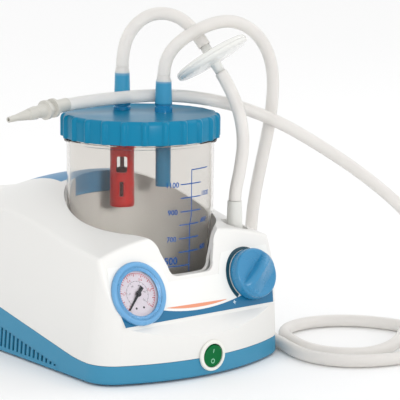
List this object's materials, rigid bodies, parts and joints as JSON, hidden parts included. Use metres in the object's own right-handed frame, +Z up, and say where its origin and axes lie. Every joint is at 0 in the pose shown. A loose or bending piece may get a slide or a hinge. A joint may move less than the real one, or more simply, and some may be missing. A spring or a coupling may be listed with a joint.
{
  "type": "suction pump",
  "caption": "Portable electric suction pump with a clear collection jar in a front well, vacuum gauge, regulator knob, rocker switch, in-line filter, float valve and silicone hoses.",
  "frame": {"origin": "on the floor under the middle of the case", "axes": "+Z up, -Y towards the front panel, +X to the right as seen from the front; +Y along the case"},
  "size_m": [0.345, 0.4184, 0.2699],
  "materials": {
    "white_shell": "satin moulded ABS",
    "blue_base": "satin moulded ABS",
    "blue_handle": "satin moulded ABS",
    "label_film": "printed polyester film",
    "black_rubber": "matt moulded rubber",
    "screw_steel": "zinc plated",
    "gauge_blue": "gloss moulded",
    "gauge_black": "moulded",
    "gauge_glass": "clear polycarbonate",
    "dial_white": "printed satin",
    "needle_black": "matt",
    "brass": "turned",
    "knob_blue": "satin moulded",
    "spindle_steel": "turned",
    "switch_white": "moulded",
    "switch_green": "translucent moulded",
    "black_plastic": "moulded nylon",
    "port_grey": "moulded",
    "jar_clear": "clear polycarbonate",
    "lid_blue": "moulded polypropylene",
    "gasket_grey": "silicone",
    "nozzle_blue": "moulded polypropylene",
    "cage_red": "gloss moulded",
    "float_white": "foamed polypropylene",
    "filter_clear": "translucent moulded",
    "membrane_white": "PTFE membrane",
    "silicone_hose": "translucent silicone",
    "connector_white": "moulded",
    "pin_nickel": "nickel plated",
    "fuse_glass": "glass",
    "lamination": "stacked sheet steel",
    "copper_winding": "varnished wire",
    "aluminium": "die cast",
    "steel": "ground",
    "fan_grey": "moulded nylon",
    "ptfe": "filled PTFE",
    "galvanised": "zinc plated sheet"
  },
  "bodies": {
    "housing": {"base_tray": "blue_base", "rubber_feet": "black_rubber", "housing_screws": "screw_steel", "top_shell": "white_shell", "carry_handle": "blue_handle", "panel_label": "label_film", "gauge_case": "gauge_black", "gauge_bezel": "gauge_blue", "gauge_glass": "gauge_glass", "gauge_dial": "dial_white", "bourdon_tube": "brass", "gauge_movement": "brass", "regulator_valve": "brass", "switch_bezel": "switch_white", "switch_body": "black_plastic", "inlet_fitting": "port_grey", "mains_inlet": "black_plastic", "inlet_pins": "pin_nickel", "motor_stator": "lamination", "motor_coil": "copper_winding", "bearing_brackets": "aluminium", "shaft_bearings": "brass", "pump_cylinder": "aluminium", "valve_plate": "steel", "cylinder_head": "aluminium", "head_screws": "screw_steel", "pump_frame": "galvanised", "rubber_mounts": "black_rubber", "exhaust_muffler": "black_plastic", "vacuum_line": "black_rubber"},
    "needle": {"gauge_needle": "needle_black"},
    "knob": {"regulator_knob": "knob_blue", "regulator_spindle": "spindle_steel"},
    "rocker": {"switch_rocker": "switch_green"},
    "jar": {"collection_jar": "jar_clear"},
    "lid": {"jar_lid": "lid_blue", "lid_gasket": "gasket_grey", "vacuum_nozzle": "nozzle_blue", "patient_nozzle": "nozzle_blue", "drop_tube": "nozzle_blue", "float_cage": "cage_red", "filter_upper": "filter_clear", "filter_lower": "filter_clear", "filter_membrane": "membrane_white", "vacuum_hose": "silicone_hose", "filter_hose": "silicone_hose", "patient_hose": "silicone_hose", "conical_connector": "connector_white"},
    "float": {"float_valve": "float_white"},
    "rotor": {"motor_rotor": "aluminium", "motor_shaft": "steel", "cooling_fan": "fan_grey", "crank": "steel"},
    "rod": {"connecting_rod": "aluminium"},
    "piston": {"piston": "aluminium", "piston_ring": "ptfe"},
    "drawer": {"fuse_drawer": "black_plastic", "fuse_cartridges": "fuse_glass"}
  },
  "joints": [
    {"name": "knob_turn", "type": "hinge", "parent": "housing", "child": "knob", "pos_m": [0.0545, -0.15214, 0.0673], "axis": [0, -0.9356, 0.3531], "range_deg": [-270, 0]},
    {"name": "switch_rock", "type": "hinge", "parent": "housing", "child": "rocker", "pos_m": [-0.0015, -0.1746, 0.0166], "axis": [1, 0, 0], "range_deg": [-12, 0]},
    {"name": "needle_swing", "type": "hinge", "parent": "housing", "child": "needle", "pos_m": [-0.0545, -0.15237, 0.0667], "axis": [0, 0.9356, -0.3531], "range_deg": [0, 270], "stiffness_Nm_per_rad": 0.0008},
    {"name": "jar_lift", "type": "slide", "parent": "housing", "child": "jar", "axis": [0, 0, 1], "range_m": [0, 0.165]},
    {"name": "lid_lift", "type": "slide", "parent": "jar", "child": "lid", "axis": [0, 0, 1], "range_m": [0, 0.085]},
    {"name": "float_lift", "type": "slide", "parent": "lid", "child": "float", "axis": [0, 0, 1], "range_m": [0, 0.011]},
    {"name": "rotor_spin", "type": "hinge", "parent": "housing", "child": "rotor", "pos_m": [0, 0.092, 0.046], "axis": [1, 0, 0], "continuous": true},
    {"name": "rod_pivot", "type": "hinge", "parent": "rotor", "child": "rod", "pos_m": [0.034, 0.092, 0.051], "axis": [1, 0, 0], "continuous": true},
    {"name": "piston_slide", "type": "slide", "parent": "housing", "child": "piston", "axis": [0, -1, 0], "range_m": [-0.005, 0.005]},
    {"name": "drawer_slide", "type": "slide", "parent": "housing", "child": "drawer", "axis": [0, 1, 0], "range_m": [0, 0.018]}
  ],
  "couplings": [
    {"joint": "rod_pivot", "follows": "rotor_spin", "ratio": -1}
  ]
}
